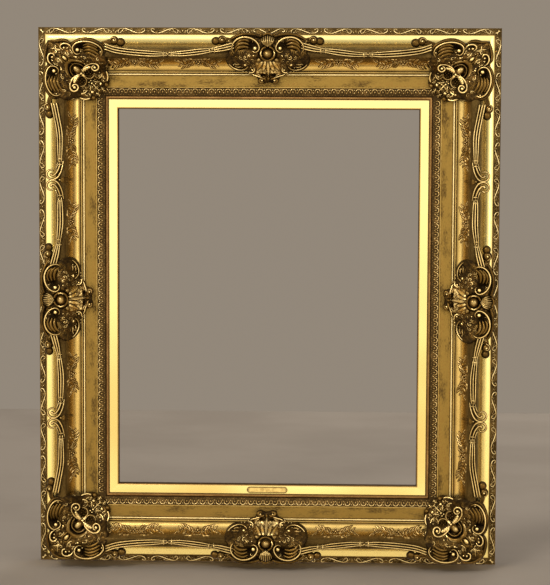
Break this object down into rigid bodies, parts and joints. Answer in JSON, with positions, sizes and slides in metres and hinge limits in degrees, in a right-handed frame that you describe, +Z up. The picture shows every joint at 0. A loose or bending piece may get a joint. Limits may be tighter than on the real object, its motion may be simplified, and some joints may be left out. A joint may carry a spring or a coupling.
{
  "type": "ornate gilded picture frame",
  "caption": "Wide ornate gilded picture frame with cast corner and centre ornaments, reeded crest, netted cove, flat frieze and burnished liner, with hanging rings on the back.",
  "frame": {"origin": "middle of the frame on the wall plane, which is the flat back of the rails", "axes": "+X to the viewer's right, +Z up, +Y into the wall; the front of the frame faces -Y"},
  "size_m": [0.92, 0.1241, 1.074],
  "materials": {
    "pine": "bare aged softwood",
    "key_wood": "bare hardwood",
    "crest_gilding": "burnished and toned gold leaf on gesso",
    "frieze_gilding": "matt toned gold leaf",
    "liner_gilding": "satin gold leaf",
    "vine_gilding": "toned gold leaf on pressed composition",
    "leaf_gilding": "toned gold leaf on pressed composition",
    "ornament_gilding": "rubbed gold leaf over dark toning on cast composition",
    "spray_gilding": "toned gold leaf on cast composition",
    "plate_brass": "satin lacquered brass",
    "pin_brass": "polished brass",
    "hanger_steel": "zinc plated",
    "ring_steel": "zinc plated wire",
    "button_steel": "zinc plated",
    "screw_steel": "zinc plated",
    "nail_steel": "bright wire"
  },
  "bodies": {
    "frame": {"back_rail_top": "pine", "crest_rail_top": "crest_gilding", "frieze_rail_top": "frieze_gilding", "liner_top": "liner_gilding", "edge_vine_top": "vine_gilding", "sight_leaf_top": "leaf_gilding", "reeds_top_a": "ornament_gilding", "reeds_top_b": "ornament_gilding", "centre_ornament_top": "ornament_gilding", "cove_sprays_top": "spray_gilding", "back_rail_bottom": "pine", "crest_rail_bottom": "crest_gilding", "frieze_rail_bottom": "frieze_gilding", "liner_bottom": "liner_gilding", "edge_vine_bottom": "vine_gilding", "sight_leaf_bottom": "leaf_gilding", "reeds_bottom_a": "ornament_gilding", "reeds_bottom_b": "ornament_gilding", "centre_ornament_bottom": "ornament_gilding", "cove_sprays_bottom": "spray_gilding", "back_rail_left": "pine", "crest_rail_left": "crest_gilding", "frieze_rail_left": "frieze_gilding", "liner_left": "liner_gilding", "edge_vine_left": "vine_gilding", "sight_leaf_left": "leaf_gilding", "reeds_left_a": "ornament_gilding", "reeds_left_b": "ornament_gilding", "centre_ornament_left": "ornament_gilding", "cove_sprays_left": "spray_gilding", "back_rail_right": "pine", "crest_rail_right": "crest_gilding", "frieze_rail_right": "frieze_gilding", "liner_right": "liner_gilding", "edge_vine_right": "vine_gilding", "sight_leaf_right": "leaf_gilding", "reeds_right_a": "ornament_gilding", "reeds_right_b": "ornament_gilding", "centre_ornament_right": "ornament_gilding", "cove_sprays_right": "spray_gilding", "corner_ornament_top_left": "ornament_gilding", "corner_ornament_top_right": "ornament_gilding", "corner_ornament_bottom_left": "ornament_gilding", "corner_ornament_bottom_right": "ornament_gilding", "mitre_keys": "key_wood", "liner_brads": "nail_steel", "title_plate": "plate_brass", "title_plate_pins": "pin_brass", "hanger_screws": "screw_steel", "turn_button_screws": "screw_steel", "hanger_plate_left": "hanger_steel", "hanger_plate_right": "hanger_steel"},
    "ring_left": {"hanger_ring_left": "ring_steel"},
    "ring_right": {"hanger_ring_right": "ring_steel"},
    "button_left_upper": {"turn_button_left_upper": "button_steel"},
    "button_left_lower": {"turn_button_left_lower": "button_steel"},
    "button_right_upper": {"turn_button_right_upper": "button_steel"},
    "button_right_lower": {"turn_button_right_lower": "button_steel"}
  },
  "joints": [
    {"name": "ring_left_hinge", "type": "hinge", "parent": "frame", "child": "ring_left", "pos_m": [-0.3535, 0.00255, 0.179], "axis": [0, 0, 1], "range_deg": [0, 170]},
    {"name": "ring_right_hinge", "type": "hinge", "parent": "frame", "child": "ring_right", "pos_m": [0.3535, 0.00255, 0.179], "axis": [0, 0, -1], "range_deg": [0, 170]},
    {"name": "button_left_upper_turn", "type": "hinge", "parent": "frame", "child": "button_left_upper", "pos_m": [-0.336, 0.0011, 0.33], "axis": [0, 1, 0], "continuous": true},
    {"name": "button_left_lower_turn", "type": "hinge", "parent": "frame", "child": "button_left_lower", "pos_m": [-0.336, 0.0011, -0.25], "axis": [0, 1, 0], "continuous": true},
    {"name": "button_right_upper_turn", "type": "hinge", "parent": "frame", "child": "button_right_upper", "pos_m": [0.336, 0.0011, 0.33], "axis": [0, 1, 0], "continuous": true},
    {"name": "button_right_lower_turn", "type": "hinge", "parent": "frame", "child": "button_right_lower", "pos_m": [0.336, 0.0011, -0.25], "axis": [0, 1, 0], "continuous": true}
  ]
}
